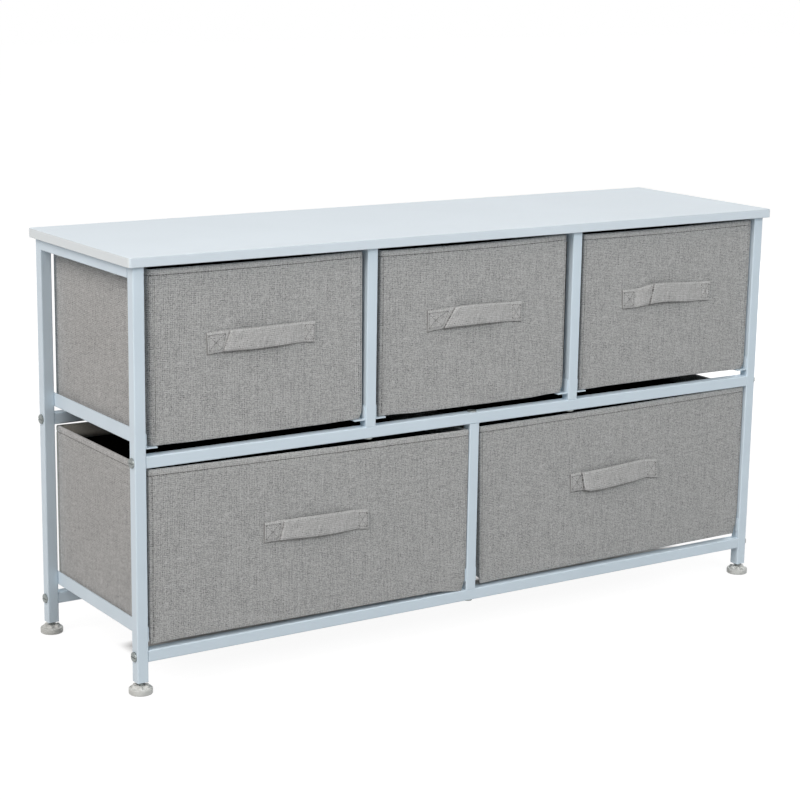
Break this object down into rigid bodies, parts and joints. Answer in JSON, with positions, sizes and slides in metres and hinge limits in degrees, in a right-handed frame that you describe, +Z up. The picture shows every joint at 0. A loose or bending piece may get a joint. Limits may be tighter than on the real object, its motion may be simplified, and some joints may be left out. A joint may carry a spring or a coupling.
{
  "type": "fabric drawer dresser",
  "caption": "Low wide dresser: a painted square-tube steel frame with a board top carries fabric drawers with strap handles on folded steel runners.",
  "frame": {"origin": "on the floor under the middle of the board top", "axes": "+X along the width, to the right as seen from the front; +Y from the drawer fronts to the back; +Z up"},
  "size_m": [1, 0.2925, 0.537],
  "materials": {
    "board_top": "pale matt laminate on a wood-based board",
    "frame_steel": "smooth satin powder coat",
    "zinc_steel": "dull zinc plate",
    "foot_plastic": "moulded, matt",
    "woven_cover": "linen-look woven polyester",
    "woven_strap": "folded and stitched strip of the cover cloth",
    "dark_lining": "dark non-woven cloth",
    "stiffening_board": "plain pressed board"
  },
  "bodies": {
    "frame": {"divider_bolts": "zinc_steel", "front_bottom_rail": "frame_steel", "front_middle_rail": "frame_steel", "leg_bolts": "zinc_steel", "leg_front_left": "frame_steel", "leg_front_right": "frame_steel", "leg_inserts": "zinc_steel", "leg_rear_left": "frame_steel", "leg_rear_right": "frame_steel", "lower_divider_front_post": "frame_steel", "lower_divider_rear_post": "frame_steel", "lower_divider_runner_left": "frame_steel", "lower_divider_runner_right": "frame_steel", "lower_side_runner_left": "frame_steel", "lower_side_runner_right": "frame_steel", "rear_bottom_rail": "frame_steel", "rear_middle_rail": "frame_steel", "side_top_rail_left": "frame_steel", "side_top_rail_right": "frame_steel", "tabletop": "board_top", "tabletop_screws": "zinc_steel", "threaded_end_plugs": "zinc_steel", "upper_divider_left_front_post": "frame_steel", "upper_divider_left_rear_post": "frame_steel", "upper_divider_left_runner_left": "frame_steel", "upper_divider_left_runner_right": "frame_steel", "upper_divider_left_top_rail": "frame_steel", "upper_divider_right_front_post": "frame_steel", "upper_divider_right_rear_post": "frame_steel", "upper_divider_right_runner_left": "frame_steel", "upper_divider_right_runner_right": "frame_steel", "upper_divider_right_top_rail": "frame_steel", "upper_side_runner_left": "frame_steel", "upper_side_runner_right": "frame_steel"},
    "upper_left_drawer": {"upper_left_drawer_boards": "stiffening_board", "upper_left_drawer_cover": "woven_cover", "upper_left_drawer_handle": "woven_strap", "upper_left_drawer_lining": "dark_lining"},
    "upper_middle_drawer": {"upper_middle_drawer_boards": "stiffening_board", "upper_middle_drawer_cover": "woven_cover", "upper_middle_drawer_handle": "woven_strap", "upper_middle_drawer_lining": "dark_lining"},
    "upper_right_drawer": {"upper_right_drawer_boards": "stiffening_board", "upper_right_drawer_cover": "woven_cover", "upper_right_drawer_handle": "woven_strap", "upper_right_drawer_lining": "dark_lining"},
    "lower_left_drawer": {"lower_left_drawer_boards": "stiffening_board", "lower_left_drawer_cover": "woven_cover", "lower_left_drawer_handle": "woven_strap", "lower_left_drawer_lining": "dark_lining"},
    "lower_right_drawer": {"lower_right_drawer_boards": "stiffening_board", "lower_right_drawer_cover": "woven_cover", "lower_right_drawer_handle": "woven_strap", "lower_right_drawer_lining": "dark_lining"},
    "foot_front_left": {"foot_front_left": "foot_plastic"},
    "foot_front_right": {"foot_front_right": "foot_plastic"},
    "foot_rear_left": {"foot_rear_left": "foot_plastic"},
    "foot_rear_right": {"foot_rear_right": "foot_plastic"}
  },
  "joints": [
    {"name": "upper_left_drawer_slide", "type": "slide", "parent": "frame", "child": "upper_left_drawer", "axis": [0, -1, 0], "range_m": [-0.003, 0.2]},
    {"name": "upper_middle_drawer_slide", "type": "slide", "parent": "frame", "child": "upper_middle_drawer", "axis": [0, -1, 0], "range_m": [-0.003, 0.2]},
    {"name": "upper_right_drawer_slide", "type": "slide", "parent": "frame", "child": "upper_right_drawer", "axis": [0, -1, 0], "range_m": [-0.003, 0.2]},
    {"name": "lower_left_drawer_slide", "type": "slide", "parent": "frame", "child": "lower_left_drawer", "axis": [0, -1, 0], "range_m": [-0.007, 0.2]},
    {"name": "lower_right_drawer_slide", "type": "slide", "parent": "frame", "child": "lower_right_drawer", "axis": [0, -1, 0], "range_m": [-0.0035, 0.2]},
    {"name": "foot_front_left_level", "type": "slide", "parent": "frame", "child": "foot_front_left", "axis": [0, 0, -1], "range_m": [-0.0025, 0.01]},
    {"name": "foot_front_right_level", "type": "slide", "parent": "frame", "child": "foot_front_right", "axis": [0, 0, -1], "range_m": [-0.0025, 0.01]},
    {"name": "foot_rear_left_level", "type": "slide", "parent": "frame", "child": "foot_rear_left", "axis": [0, 0, -1], "range_m": [-0.0025, 0.01]},
    {"name": "foot_rear_right_level", "type": "slide", "parent": "frame", "child": "foot_rear_right", "axis": [0, 0, -1], "range_m": [-0.0025, 0.01]}
  ]
}
